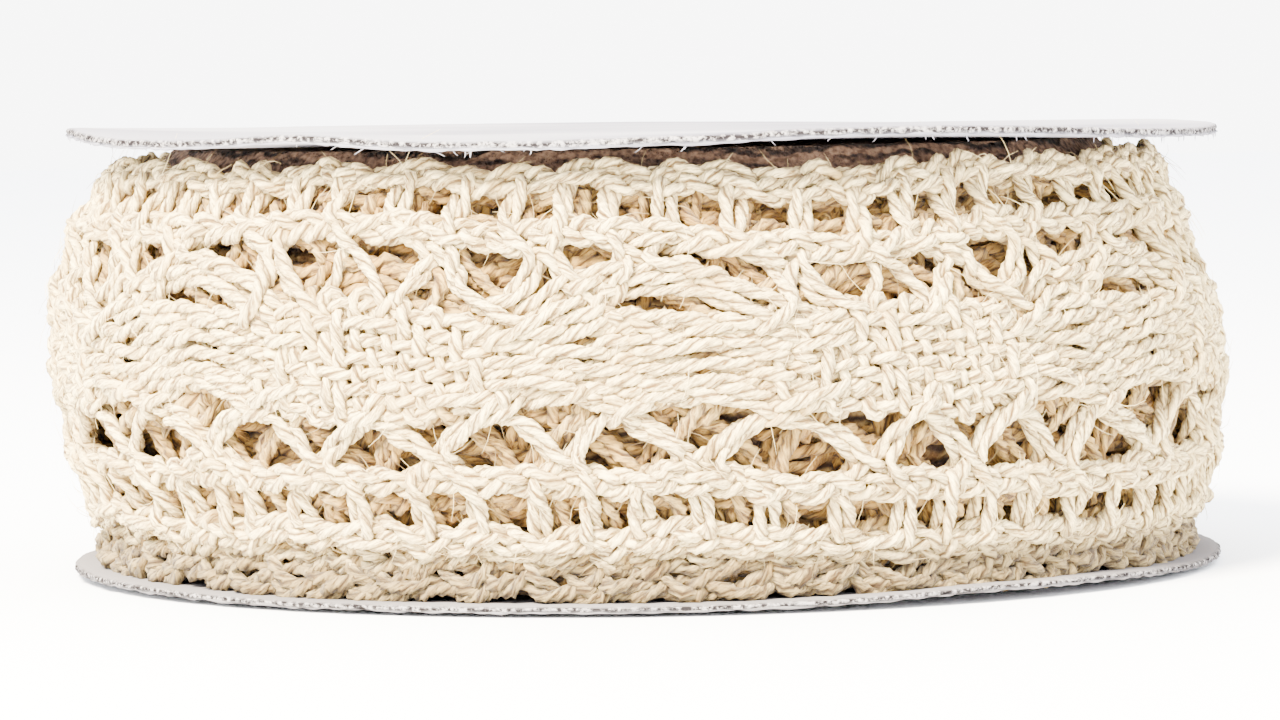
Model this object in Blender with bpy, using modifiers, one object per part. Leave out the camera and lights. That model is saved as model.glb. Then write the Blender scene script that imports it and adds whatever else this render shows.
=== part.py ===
"""Spool of lace ribbon: a roll of cotton bobbin lace wound between two card discs.

Metres, +Z up. The origin is the middle of the lower disc's underside, and the spool's axis is Z.
"""
from collections import namedtuple
from math import atan2, cos, hypot, pi, sin, tau

import bpy

MM = 0.001

# Card discs
DISC_DIAMETER = 76 * MM
DISC_THICKNESS = 0.6 * MM
DISC_SIDES = 120
DISC_EDGE_ROUNDING = 0.12 * MM
SPOOL_HEIGHT = 28.5 * MM

# Wound lace: it clears each disc by a hair, and its outer turn has a whole number of pattern repeats
DISC_CLEARANCE = 0.3 * MM
ROLL_BOTTOM = DISC_THICKNESS + DISC_CLEARANCE
ROLL_TOP = SPOOL_HEIGHT - DISC_THICKNESS - DISC_CLEARANCE
REPEATS_ROUND = 7
EYELETS_PER_REPEAT = 9
EYELETS_ROUND = REPEATS_ROUND * EYELETS_PER_REPEAT
COLUMNS_PER_EYELET = 3
COLUMNS_ROUND = EYELETS_ROUND * COLUMNS_PER_EYELET

# Relief of the lace
LACE_THICKNESS = 0.85 * MM
SCALLOP_DEPTH = 0.35 * MM
INNER_SCALLOP_DEPTH = 0.2 * MM
CORD_RISE = 0.15 * MM
BAND_RISE = 0.1 * MM
LEAF_RISE = 0.35 * MM
STITCH_RISE = 0.15 * MM
LONG_THREAD_RISE = 0.4 * MM
RIDGE_SPACING = 2.3 * MM

# Where the pattern stands, in eyelets from the spool's -Y side towards +X
LOWER_EYELET_MIDDLE = -0.42
UPPER_EYELET_MIDDLE = 0.33
SECOND_TURN_MIDDLE = 0.0
THIRD_TURN_MIDDLE = 0.5
LONG_THREADS_MIDDLE = 0.1
LEAF_MIDDLE = LONG_THREADS_MIDDLE + EYELETS_PER_REPEAT / 2

# Half sizes of the gaps and of the woven leaf: along in eyelets, across in metres
EYELET_HALF_WIDTH = 0.3
LEAF_HALF_LENGTH = 2.4
LEAF_HALF_HEIGHT = 4.6 * MM

# Heights of the pattern's rows
LOWER_EYELET_HEIGHT = 6.1 * MM
LOWER_HOLE_HEIGHT = 10.1 * MM
GROUND_HEIGHT = 15.25 * MM
UPPER_HOLE_HEIGHT = 20.6 * MM
UPPER_EYELET_HEIGHT = 24.8 * MM

# One row for each ring of the winding, from the middle of its top to the middle of its bottom.
# lean moves a ring towards -X, because the turns were wound a little off centre.
Ring = namedtuple("Ring", "kind height radius lean")
RINGS = [
    Ring("face", ROLL_TOP, 0.0 * MM, 0.0 * MM),
    Ring("face", ROLL_TOP, 31.6 * MM, 0.3 * MM),
    Ring("inner_edge", 27.30 * MM, 32.9 * MM, 0.4 * MM),
    Ring("step", 26.60 * MM, 33.5 * MM, 0.4 * MM),
    Ring("top_edge", 27.05 * MM, 34.2 * MM, 0.5 * MM),
    Ring("cord", 26.50 * MM, 34.9 * MM, 0.6 * MM),
    Ring("upper_eyelet", 25.45 * MM, 35.6 * MM, 0.8 * MM),
    Ring("upper_eyelet", 24.15 * MM, 36.3 * MM, 0.9 * MM),
    Ring("band", 23.00 * MM, 36.9 * MM, 1.0 * MM),
    Ring("hole", 22.00 * MM, 37.3 * MM, 1.1 * MM),
    Ring("hole", 20.60 * MM, 37.7 * MM, 1.0 * MM),
    Ring("hole", 19.20 * MM, 38.0 * MM, 0.9 * MM),
    Ring("ground", 18.10 * MM, 38.2 * MM, 0.8 * MM),
    Ring("ground", 17.00 * MM, 38.4 * MM, 0.6 * MM),
    Ring("ground", 15.85 * MM, 38.5 * MM, 0.5 * MM),
    Ring("ground", 14.70 * MM, 38.6 * MM, 0.4 * MM),
    Ring("ground", 13.55 * MM, 38.7 * MM, 0.4 * MM),
    Ring("ground", 12.45 * MM, 38.7 * MM, 0.4 * MM),
    Ring("hole", 11.40 * MM, 38.7 * MM, 0.4 * MM),
    Ring("hole", 10.10 * MM, 38.6 * MM, 0.3 * MM),
    Ring("hole", 8.90 * MM, 38.4 * MM, 0.2 * MM),
    Ring("band", 7.80 * MM, 38.2 * MM, 0.1 * MM),
    Ring("lower_eyelet", 6.70 * MM, 37.9 * MM, 0.0 * MM),
    Ring("lower_eyelet", 5.50 * MM, 37.5 * MM, -0.1 * MM),
    Ring("cord", 4.50 * MM, 37.2 * MM, -0.1 * MM),
    Ring("bottom_edge", 3.60 * MM, 36.8 * MM, -0.1 * MM),
    Ring("step", 4.10 * MM, 36.1 * MM, 0.0 * MM),
    Ring("second_edge", 2.40 * MM, 36.2 * MM, 0.0 * MM),
    Ring("step", 2.85 * MM, 35.4 * MM, 0.0 * MM),
    Ring("third_edge", 1.25 * MM, 35.6 * MM, 0.0 * MM),
    Ring("face", ROLL_BOTTOM, 34.6 * MM, 0.0 * MM),
    Ring("face", ROLL_BOTTOM, 0.0 * MM, 0.0 * MM),
]

# Large holes of one repeat, in eyelets from the middle of the long threads. Each is triangular:
# its half width is for half its height, and it narrows towards the lace's middle.
Hole = namedtuple("Hole", "middle half_width")
HOLES = [
    Hole(0.8, 0.50),
    Hole(2.5, 0.60),
    Hole(4.5, 0.75),
    Hole(6.5, 0.60),
    Hole(8.2, 0.50),
]
HOLE_TAPER = 0.3 / (1.4 * MM)


def clear_scene():
    for thing in list(bpy.data.objects):
        bpy.data.objects.remove(thing, do_unlink=True)


def finish(name, colour, roughness):
    material = bpy.data.materials.new(name)
    material.use_nodes = True
    shader = material.node_tree.nodes["Principled BSDF"]
    shader.inputs["Base Color"].default_value = (*colour, 1.0)
    shader.inputs["Roughness"].default_value = roughness
    shader.inputs["Metallic"].default_value = 0.0
    return material


def depth_in_gap(place, middle, half_width, period):
    """1 inside a gap of the lace, falling to 0 on the threads beside it."""
    distance = abs((place - middle + period / 2) % period - period / 2)
    return max(0.0, min(1.0, 2.2 - 1.6 * distance / half_width))


def depth_in_holes(place, height):
    """1 inside one of the large holes of the row at this height."""
    if height < GROUND_HEIGHT:
        outward = LOWER_HOLE_HEIGHT - height
    else:
        outward = height - UPPER_HOLE_HEIGHT
    widening = 1 + HOLE_TAPER * outward
    return max(depth_in_gap(place, LONG_THREADS_MIDDLE + hole.middle, hole.half_width * widening,
                            EYELETS_PER_REPEAT)
               for hole in HOLES)


def scallop(place, gap_middle):
    """How far an edge swings out: 1 at a bar between two eyelets, -1 at an eyelet's middle."""
    return -cos(tau * (place - gap_middle))


def ground_rise(place, height):
    """The woven leaf stands out as a cushion, and long threads cross between two leaves as ridges."""
    along = (place - LEAF_MIDDLE + EYELETS_PER_REPEAT / 2) % EYELETS_PER_REPEAT - EYELETS_PER_REPEAT / 2
    along /= LEAF_HALF_LENGTH
    across = (height - GROUND_HEIGHT) / LEAF_HALF_HEIGHT
    ridge = cos(height / RIDGE_SPACING * tau)
    fullness = 1 - abs(along) - 0.5 * abs(across)
    if fullness < 0:
        return LONG_THREAD_RISE * ridge
    stitch = ridge * cos(place * COLUMNS_PER_EYELET * pi)
    return LEAF_RISE * min(1.0, 2 * fullness) + STITCH_RISE * stitch


def lace_offset(ring, place):
    """Outward rise and upward shift of one point of a ring, for its place round the spool in eyelets."""
    if ring.kind == "upper_eyelet":
        return -LACE_THICKNESS * depth_in_gap(place, UPPER_EYELET_MIDDLE, EYELET_HALF_WIDTH, 1.0), 0.0
    if ring.kind == "lower_eyelet":
        return -LACE_THICKNESS * depth_in_gap(place, LOWER_EYELET_MIDDLE, EYELET_HALF_WIDTH, 1.0), 0.0
    if ring.kind == "hole":
        return -LACE_THICKNESS * depth_in_holes(place, ring.height), 0.0
    if ring.kind == "ground":
        return ground_rise(place, ring.height), 0.0
    if ring.kind == "cord":
        return CORD_RISE, 0.0
    if ring.kind == "band":
        return BAND_RISE, 0.0
    if ring.kind == "top_edge":
        return 0.0, SCALLOP_DEPTH * scallop(place, UPPER_EYELET_MIDDLE)
    if ring.kind == "bottom_edge":
        return 0.0, -SCALLOP_DEPTH * scallop(place, LOWER_EYELET_MIDDLE)
    if ring.kind == "second_edge":
        return 0.0, -SCALLOP_DEPTH * scallop(place, SECOND_TURN_MIDDLE)
    if ring.kind == "third_edge":
        return 0.0, -INNER_SCALLOP_DEPTH * scallop(place, THIRD_TURN_MIDDLE)
    return 0.0, 0.0


def column_place(column, height):
    """Place of a column in eyelets: on a bar or a third of the way to the next, and bars slant a little."""
    upward = (height - LOWER_EYELET_HEIGHT) / (UPPER_EYELET_HEIGHT - LOWER_EYELET_HEIGHT)
    upward = max(0.0, min(1.0, upward))
    lower_start = LOWER_EYELET_MIDDLE + 1 / 2
    upper_start = UPPER_EYELET_MIDDLE - 1 / (2 * COLUMNS_PER_EYELET)
    start = lower_start + upward * (upper_start - lower_start)
    return start + column / COLUMNS_PER_EYELET


def turned_winding():
    """The winding's profile turned about Z, with one step for each column."""
    outline = [(ring.radius, 0.0, ring.height) for ring in RINGS]
    profile = bpy.data.meshes.new("winding_profile")
    profile.from_pydata(outline, [(i, i + 1) for i in range(len(outline) - 1)], [])
    guide = bpy.data.objects.new("winding_profile", profile)
    bpy.context.scene.collection.objects.link(guide)
    turn = guide.modifiers.new("turn", "SCREW")
    turn.steps = COLUMNS_ROUND
    turn.render_steps = COLUMNS_ROUND
    turn.use_merge_vertices = True
    turn.merge_threshold = 0.01 * MM
    evaluated = guide.evaluated_get(bpy.context.evaluated_depsgraph_get())
    mesh = bpy.data.meshes.new_from_object(evaluated)
    bpy.data.objects.remove(guide, do_unlink=True)
    bpy.data.meshes.remove(profile)
    return mesh


def ring_at(radius, height):
    return min(RINGS, key=lambda ring: hypot(ring.radius - radius, ring.height - height))


def add_lace_roll(collection, material):
    mesh = turned_winding()
    for vertex in mesh.vertices:
        ring = ring_at(hypot(vertex.co.x, vertex.co.y), vertex.co.z)
        if ring.radius == 0:
            continue
        column = round((atan2(vertex.co.y, vertex.co.x) % tau) / tau * COLUMNS_ROUND)
        place = column_place(column, ring.height)
        outward, upward = lace_offset(ring, place)
        angle = place / EYELETS_ROUND * tau - pi / 2
        vertex.co.x = (ring.radius + outward) * cos(angle) - ring.lean
        vertex.co.y = (ring.radius + outward) * sin(angle)
        vertex.co.z = ring.height + upward
    mesh.name = "lace_roll"
    mesh.shade_smooth()
    mesh.set_sharp_from_angle(angle=0.6)
    mesh.materials.append(material)
    collection.objects.link(bpy.data.objects.new("lace_roll", mesh))


def add_disc(collection, name, underside, material):
    bpy.ops.mesh.primitive_cylinder_add(
        vertices=DISC_SIDES, radius=DISC_DIAMETER / 2, depth=DISC_THICKNESS,
        location=(0, 0, underside + DISC_THICKNESS / 2))
    disc = bpy.context.object
    disc.name = name
    disc.data.name = name
    rounding = disc.modifiers.new("edge", "BEVEL")
    rounding.width = DISC_EDGE_ROUNDING
    rounding.segments = 1
    rounding.limit_method = "ANGLE"
    disc.data.materials.append(material)
    disc.data.shade_smooth()
    disc.data.set_sharp_from_angle(angle=0.6)
    for holder in list(disc.users_collection):
        holder.objects.unlink(disc)
    collection.objects.link(disc)


def build():
    clear_scene()
    spool = bpy.data.collections.new("lace_ribbon_spool")
    bpy.context.scene.collection.children.link(spool)
    card = finish("white_card", (0.80, 0.80, 0.82), 0.35)
    cotton = finish("cream_cotton", (0.83, 0.74, 0.60), 0.9)
    add_disc(spool, "flange_bottom", 0.0, card)
    add_lace_roll(spool, cotton)
    add_disc(spool, "flange_top", SPOOL_HEIGHT - DISC_THICKNESS, card)


build()
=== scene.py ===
"""Looks of a spool of lace ribbon: soft two-ply cotton yarns, crossed and woven as bobbin lace.

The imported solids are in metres, +Z up. The lace is charted flat, with places round the spool in eyelets,
heights and depths in millimetres, and is then wound on the roll's barrel shape.
"""
import math
import random
from collections import namedtuple

import bpy
import numpy as np
from mathutils import Matrix, Vector


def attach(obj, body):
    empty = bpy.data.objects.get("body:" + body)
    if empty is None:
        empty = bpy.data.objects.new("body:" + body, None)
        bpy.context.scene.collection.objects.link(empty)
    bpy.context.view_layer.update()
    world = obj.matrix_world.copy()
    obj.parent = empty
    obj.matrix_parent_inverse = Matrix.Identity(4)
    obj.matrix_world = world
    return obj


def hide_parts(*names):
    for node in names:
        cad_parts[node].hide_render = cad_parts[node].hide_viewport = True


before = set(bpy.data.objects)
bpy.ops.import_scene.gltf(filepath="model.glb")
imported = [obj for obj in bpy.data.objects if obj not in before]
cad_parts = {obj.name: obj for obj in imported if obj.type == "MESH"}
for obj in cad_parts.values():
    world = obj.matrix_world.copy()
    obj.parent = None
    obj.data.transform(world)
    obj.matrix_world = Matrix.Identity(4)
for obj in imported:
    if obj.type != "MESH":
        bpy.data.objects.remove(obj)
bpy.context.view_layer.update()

MM = 0.001
TAU = math.tau

# Pattern of the lace: one repeat is nine edge eyelets long. Heights and spacings are millimetres, and places
# and lengths along the leaf are eyelets.
EYELETS_PER_REPEAT = 9
REPEATS_ROUND = 7
EYELETS_ROUND = EYELETS_PER_REPEAT * REPEATS_ROUND
EYELET_PITCH = 3.79
REPEAT_LENGTH = EYELETS_PER_REPEAT * EYELET_PITCH
MIRROR_HEIGHT = 30.5
LACE_MIDDLE = MIRROR_HEIGHT / 2
LEAF_MIDDLE = 4.6
LEAF_HALF_LENGTH = 2.35
LEAF_ROWS = 8
LEAF_ROW_SPACING = 0.93
LEAF_PASSES = 16
LEAF_PASS_SPACING = 0.29
LEAF_TURN = 0.42
LEAF_SAMPLES = 36
BETWEEN_SPACING = 0.6
BETWEEN_LIFT = 0.45
SWAY = 0.35
EDGE_YARNS = 4
EDGE_HEIGHT = 4.1
EDGE_SWING = 0.52
EDGE_WAVE = 3
SCALLOP = 0.30
BAND_YARNS = 3
BAND_HEIGHT = 7.85
BAND_SWING = 0.52
BAND_WAVES = 5
SAMPLES_PER_EYELET = 8
SAMPLE_OFFSET = 0.06

# Yarn, in millimetres
YARN_RADIUS = 0.47
CROSSING_DEPTH = 0.36
CONTACT_DISTANCE = 0.74
CHART_STEP = 0.35
YARN_STEP = 0.42
TWIST_PITCH = 3.7
FREE_SPAN = 1.5

# A V of yarns: where it meets the band, the bars to the edge that its yarns run round, and its two arms.
# Places are (eyelets, height) for the lower side. The upper side is drawn the same way and then mirrored.
Vee = namedtuple("Vee", "vertex bars left right")
LOWER_VEES = [
    Vee(1.08, (0.08, 1.08, 2.08),
        [(0.25, 11.0), (-0.7, 12.9), (-1.5, 14.0), (-2.5, 14.7)],
        [(1.75, 11.1), (2.45, 12.8), (3.1, 13.8), (3.9, 14.4)]),
    Vee(3.58, (3.08, 4.08),
        [(3.1, 10.9), (2.55, 12.3), (1.7, 13.3), (0.5, 13.9), (-1.0, 14.4), (-2.4, 14.9)],
        [(4.1, 10.9), (4.55, 12.4), (4.9, 13.4), (5.2, 14.2)]),
    Vee(5.58, (5.08, 6.08),
        [(5.05, 10.9), (4.6, 12.4), (4.25, 13.4), (3.95, 14.2)],
        [(6.1, 10.9), (6.55, 12.4), (6.9, 13.3), (7.3, 14.0)]),
    Vee(7.58, (7.08, 8.08),
        [(7.05, 10.9), (6.6, 12.4), (6.25, 13.4), (5.9, 14.2)],
        [(8.05, 10.9), (8.5, 12.2), (9.3, 13.2), (10.3, 13.7), (11.4, 14.2), (12.3, 14.9)]),
]
UPPER_VEES = [
    Vee(0.35, (-0.17, 0.83),
        [(0.1, 10.2), (-0.1, 11.4), (-0.8, 12.6), (-1.8, 13.6)],
        [(1.15, 9.9), (1.9, 10.6), (2.65, 11.7), (3.2, 13.0), (3.7, 13.9)]),
    Vee(2.65, (1.83, 2.83),
        [(2.55, 10.4), (2.5, 11.6), (2.1, 12.9), (1.2, 13.6), (-0.2, 14.2), (-1.9, 14.8)],
        [(3.1, 10.8), (3.5, 12.2), (3.9, 13.4), (4.2, 14.2)]),
    Vee(4.3, (3.83,),
        [(3.95, 10.9), (3.6, 12.3), (3.25, 13.4), (3.0, 14.1)],
        [(4.7, 10.9), (5.05, 12.3), (5.4, 13.4), (5.7, 14.2)]),
    Vee(5.9, (4.83, 5.83),
        [(5.45, 10.9), (5.1, 12.3), (4.75, 13.4), (4.45, 14.2)],
        [(6.3, 10.9), (6.7, 12.3), (7.05, 13.3), (7.4, 14.0)]),
    Vee(7.5, (6.83, 7.83),
        [(7.05, 10.9), (6.7, 12.3), (6.4, 13.4), (6.1, 14.2)],
        [(7.95, 10.9), (8.35, 12.2), (9.1, 13.3), (10.1, 13.9), (11.3, 14.4), (12.3, 15.0)]),
]
LOWER_SCALLOPS = (1.58, 3.58, 5.3, 6.95, 8.58)
UPPER_SCALLOPS = (1.3, 3.2, 5.0, 6.6, 8.35)

# Three yarns in an arc beside the upper Vs, each a little further along and across than the last
ARC_POINTS = [(-3.1, 14.4), (-2.1, 13.0), (-1.14, 11.4), (0.0, 10.6), (0.7, 10.2), (1.35, 10.5),
              (1.95, 11.8), (2.55, 13.1), (3.4, 14.2)]
ARC_SHIFTS = (-0.75, 0.0, 0.75)

# The loop of a yarn round its bar and the edge: how far it lies beside the bar, in eyelets, and its height
BAR_LOOP = [(-0.02, 7.7), (0.118, 6.8), (0.105, 5.9), (0.118, 5.0), (0.10, 4.3), (0.0, 3.85), (-0.10, 4.3),
            (-0.105, 5.0), (-0.105, 5.9), (-0.10, 6.8), (0.06, 7.7)]

# Half the width of an arm's two yarns, in eyelets and in millimetres, and where the short arms end
ARM_HALF_WIDTH = 0.105
ARM_HALF_HEIGHT = 0.12
SHORT_ARM_POINTS = 4

# One yarn of the chart: closed yarns run on from repeat to repeat, and tucked ones dive at their ends
Strand = namedtuple("Strand", "group points closed tucked")

# The winding's outer surface: height, radius, and how far the turns lie off centre towards -X
Profile = namedtuple("Profile", "height radius lean")
PROFILE = [
    Profile(0.0, 34.9, 0.0),
    Profile(2.4, 36.2, 0.0),
    Profile(3.6, 36.9, -0.1),
    Profile(4.5, 37.3, -0.1),
    Profile(6.1, 37.8, 0.0),
    Profile(7.8, 38.2, 0.1),
    Profile(10.1, 38.6, 0.3),
    Profile(13.0, 38.8, 0.4),
    Profile(15.8, 38.6, 0.5),
    Profile(18.1, 38.3, 0.8),
    Profile(20.6, 37.7, 1.0),
    Profile(22.0, 37.3, 1.1),
    Profile(24.1, 36.4, 0.9),
    Profile(25.4, 35.7, 0.8),
    Profile(26.5, 35.0, 0.6),
    Profile(27.3, 34.4, 0.5),
    Profile(29.0, 32.8, 0.4),
]


def arm(points, side, twisted):
    """One of the two yarns that lie side by side in an arm of a V, from its foot outwards."""
    offset = []
    for i, (u, v) in enumerate(points):
        crossed = twisted and i >= 1
        shift = -ARM_HALF_WIDTH * side if crossed else ARM_HALF_WIDTH * side
        offset.append((u + shift, v - ARM_HALF_HEIGHT if crossed else v + ARM_HALF_HEIGHT))
    return offset


def worker(vee, bar, start, end, turn):
    """A yarn that comes down one arm of a V, runs round its bar and the edge, and climbs the other arm."""
    cross = 0.14 * turn
    reach = bar - vee.vertex
    down = [(vee.vertex - cross, 9.5), (vee.vertex + 0.4 * reach + cross * 0.3, 8.6)]
    loop = [(bar + beside * turn, height) for beside, height in BAR_LOOP]
    up = [(vee.vertex + 0.45 * reach + cross * 0.3, 8.5), (vee.vertex + cross * 1.4, 9.4)]
    return list(reversed(start)) + down + loop + up + end


def vee_strands(vee):
    """The yarns of one V. Its outer yarns run far along the lace, and its inner ones end sooner."""
    strands = []
    for i, bar in enumerate(vee.bars):
        turn = 1 if bar > vee.vertex or len(vee.bars) == 1 else -1
        long_arm, short_arm = (vee.left, vee.right) if turn > 0 else (vee.right, vee.left)
        start = arm(long_arm, turn, True)
        end = arm(short_arm[:SHORT_ARM_POINTS], turn, i % 2 == 0)
        strands.append(Strand("arms", worker(vee, bar, start, end, turn), False, True))
    return strands


def scallop_phase(u, lows):
    """0 at each low point of the scalloped edge and pi half way between two of them."""
    marks = [low + EYELETS_PER_REPEAT * k for k in (-1, 0, 1, 2) for low in lows]
    for a, b in zip(marks, marks[1:]):
        if a <= u < b:
            return TAU * (u - a) / (b - a)
    raise ValueError("place outside the chart")


def side_strands(vees, lows, upper):
    """Edge, band, bars and Vs on one side of the lace."""
    strands = []
    first = vees[0].bars[0] + SAMPLE_OFFSET
    places = [first + k / SAMPLES_PER_EYELET for k in range(EYELETS_PER_REPEAT * SAMPLES_PER_EYELET)]
    for row in range(EDGE_YARNS):
        edge = []
        for u in places:
            swing = EDGE_SWING * math.sin(TAU * (u / EDGE_WAVE + row / EDGE_YARNS))
            edge.append((u, EDGE_HEIGHT - SCALLOP * math.cos(scallop_phase(u, lows)) + swing))
        strands.append(Strand("edges", edge, True, False))
    for row in range(BAND_YARNS):
        band = []
        for u in places:
            swing = BAND_SWING * math.sin(TAU * (u * BAND_WAVES / EYELETS_PER_REPEAT + row / BAND_YARNS))
            band.append((u, BAND_HEIGHT + swing))
        strands.append(Strand("bands", band, True, False))
    for vee in vees:
        strands += vee_strands(vee)
    if upper:
        for shift in ARC_SHIFTS:
            points = [(u + 0.06 * shift, v + shift * 0.8) for u, v in ARC_POINTS]
            strands.append(Strand("threads", points, False, True))
        strands = [s._replace(points=[(u, MIRROR_HEIGHT - v) for u, v in s.points]) for s in strands]
    return strands


def leaf_gather(x):
    """How far the long yarns spread, from 1 at the leaf's middle to less at its ends."""
    return 1 - 0.36 * min(1.0, abs(x) / LEAF_HALF_LENGTH) ** 1.6


def leaf_strands():
    """Long yarns that run all round, and the yarn that weaves them into a leaf in each repeat.

    Between two leaves each long yarn has changed places with its neighbour.
    """
    strands = []
    middle_row = (LEAF_ROWS - 1) / 2
    between = EYELETS_PER_REPEAT / 2
    for row in range(LEAF_ROWS):
        swapped = row ^ 1
        points = []
        for k in range(LEAF_SAMPLES):
            x = k * EYELETS_PER_REPEAT / LEAF_SAMPLES - between
            in_leaf = (row - middle_row) * LEAF_ROW_SPACING * leaf_gather(x)
            far = max(0.0, abs(x) - LEAF_HALF_LENGTH) / (between - LEAF_HALF_LENGTH)
            mix = far * far * (3 - 2 * far)
            in_between = (swapped - middle_row) * BETWEEN_SPACING + BETWEEN_LIFT
            offset = in_leaf * (1 - mix) + in_between * mix
            sway = SWAY * math.sin(TAU * x / EYELETS_PER_REPEAT)
            points.append((LEAF_MIDDLE + x, LACE_MIDDLE + offset - sway))
        strands.append(Strand("threads", points, True, False))
    points = []
    for k in range(LEAF_PASSES):
        x = (k - (LEAF_PASSES - 1) / 2) * LEAF_PASS_SPACING
        half = middle_row * LEAF_ROW_SPACING * leaf_gather(x) + LEAF_TURN
        direction = 1 if k % 2 else -1
        middle = LACE_MIDDLE - SWAY * math.sin(TAU * x / EYELETS_PER_REPEAT)
        for part in (-1.0, -0.55, 0.0, 0.55, 1.0):
            points.append((LEAF_MIDDLE + x, middle + direction * part * half))
    strands.append(Strand("leaves", points, False, False))
    return strands


def spline(points, closed, step):
    """Evenly spaced points on a smooth curve through the chart's points, in millimetres."""
    p = np.array([(u * EYELET_PITCH, v) for u, v in points])
    if closed:
        shift = np.array([REPEAT_LENGTH, 0.0])
        p = np.vstack([p[-1] - shift, p, p[0] + shift, p[1] + shift])
    else:
        p = np.vstack([2 * p[0] - p[1], p, 2 * p[-1] - p[-2]])
    t = np.linspace(0, 1, 12, endpoint=False)[:, None]
    runs = []
    for a, b, c, d in zip(p[:-3], p[1:-2], p[2:-1], p[3:]):
        runs.append(0.5 * (2 * b + (c - a) * t + (2 * a - 5 * b + 4 * c - d) * t ** 2
                           + (3 * b - a - 3 * c + d) * t ** 3))
    curve = np.vstack(runs + [p[-2][None]])
    length = np.concatenate([[0], np.cumsum(np.linalg.norm(np.diff(curve, axis=0), axis=1))])
    count = max(4, round(length[-1] / step))
    at = np.linspace(0, length[-1], count + 1)
    even = np.column_stack([np.interp(at, length, curve[:, 0]), np.interp(at, length, curve[:, 1])])
    return even[:-1] if closed else even


def find_crossings(paths, closed):
    """Each place where two yarns cross, as (yarn, sample, yarn, sample), the seam between repeats too."""
    reach = 0.8
    neighbours = 4
    starts, steps, owner, index = [], [], [], []
    for n, path in enumerate(paths):
        after = np.vstack([path[1:], path[:1] + [REPEAT_LENGTH, 0]]) if closed[n] else path[1:]
        before = path if closed[n] else path[:-1]
        starts.append(before)
        steps.append(after - before)
        owner += [n] * len(before)
        index += list(range(len(before)))
    starts, steps = np.vstack(starts), np.vstack(steps)
    owner, index = np.array(owner), np.array(index)
    found = []
    for i in range(len(starts)):
        gap = starts[i + 1:] - starts[i]
        shift = np.round(gap[:, 0] / REPEAT_LENGTH) * REPEAT_LENGTH
        gap[:, 0] -= shift
        near = np.nonzero((np.abs(gap[:, 0]) < reach) & (np.abs(gap[:, 1]) < reach))[0]
        if not len(near):
            continue
        j = near + i + 1
        same = (owner[j] == owner[i]) & (np.abs(index[j] - index[i]) < neighbours)
        j, gap = j[~same], gap[near][~same]
        cross = steps[i, 0] * steps[j, 1] - steps[i, 1] * steps[j, 0]
        cross = np.where(np.abs(cross) < 1e-9, 1e-9, cross)
        s = (gap[:, 0] * steps[j, 1] - gap[:, 1] * steps[j, 0]) / cross
        t = (gap[:, 0] * steps[i, 1] - gap[:, 1] * steps[i, 0]) / cross
        hit = (s >= 0) & (s < 1) & (t >= 0) & (t < 1)
        for k, a, b in zip(j[hit], s[hit], t[hit]):
            found.append((owner[i], index[i] + a, owner[k], index[k] + b))
    return found


def choose_overs(found, paths, tucked):
    """For each crossing, whether its first yarn is over: yarns go over and under by turns where they can.

    Each crossing has a link to the next one on either yarn, a weak link where that is far off, and is pulled
    over where a tucked yarn ends. The choices are shaken, less and less, until they suit most links.
    """
    near, near_weight, far_weight = 2.2, 1.0, 0.3
    end_reach, end_pull = 1.6, 3.0
    sweeps, first_heat, least_heat = 60, 1.5, 0.01
    rng = random.Random(4)
    visits = {}
    for c, (a, at_a, b, at_b) in enumerate(found):
        visits.setdefault(a, []).append((at_a, c, 1))
        visits.setdefault(b, []).append((at_b, c, -1))
    links = [[] for _ in found]
    pull = [0.0] * len(found)
    for yarn, stops in visits.items():
        stops.sort()
        for (s, c, sign_c), (t, d, sign_d) in zip(stops, stops[1:]):
            weight = near_weight if (t - s) * CHART_STEP < near else far_weight
            if c != d:
                links[c].append((d, weight * sign_c * sign_d))
                links[d].append((c, weight * sign_c * sign_d))
        if tucked[yarn]:
            last = len(paths[yarn])
            for s, c, sign in stops:
                if min(s, last - s) * CHART_STEP < end_reach:
                    pull[c] += end_pull * sign
    over = [1 if rng.random() < 0.5 else -1 for _ in found]
    for sweep in range(sweeps):
        heat = first_heat * (1 - sweep / sweeps) ** 2
        for c in range(len(found)):
            field = pull[c] + sum(weight * over[d] for d, weight in links[c])
            cost = -2 * over[c] * field
            if cost < 0 or (heat > least_heat and rng.random() < math.exp(-cost / heat)):
                over[c] = -over[c]
    return over


def yarn_depths(paths, closed, tucked, found, over):
    """Depth of each sample: out of the surface where its yarn is over another, and in where it is under.

    In the middle of a long free span a yarn comes back to the surface, and at its ends a tucked yarn dives.
    """
    ease, dive, dive_length = 1.6, 1.1, 1.8
    stops = [[] for _ in paths]
    for (a, at_a, b, at_b), sign in zip(found, over):
        stops[a].append((at_a, sign * CROSSING_DEPTH))
        stops[b].append((at_b, -sign * CROSSING_DEPTH))
    depths = []
    for n, path in enumerate(paths):
        count = len(path)
        knots = sorted(stops[n])
        if not knots:
            knots = [(0.0, 0.0)]
        at = np.array([k[0] for k in knots])
        value = np.array([k[1] for k in knots])
        if closed[n]:
            at = np.concatenate([at - count, at, at + count])
            value = np.tile(value, 3)
        wide = np.nonzero(np.diff(at) * CHART_STEP > FREE_SPAN)[0]
        middles = np.column_stack([at[wide] + ease, at[wide + 1] - ease]).ravel()
        at = np.insert(at, np.repeat(wide + 1, 2), middles)
        value = np.insert(value, np.repeat(wide + 1, 2), 0.0)
        depth = np.interp(np.arange(count), at, value)
        if tucked[n]:
            from_end = np.minimum(np.arange(count), count - 1 - np.arange(count)) * CHART_STEP
            depth -= dive * np.clip(1 - from_end / dive_length, 0, 1)
        depths.append(depth)
    return depths


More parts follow.
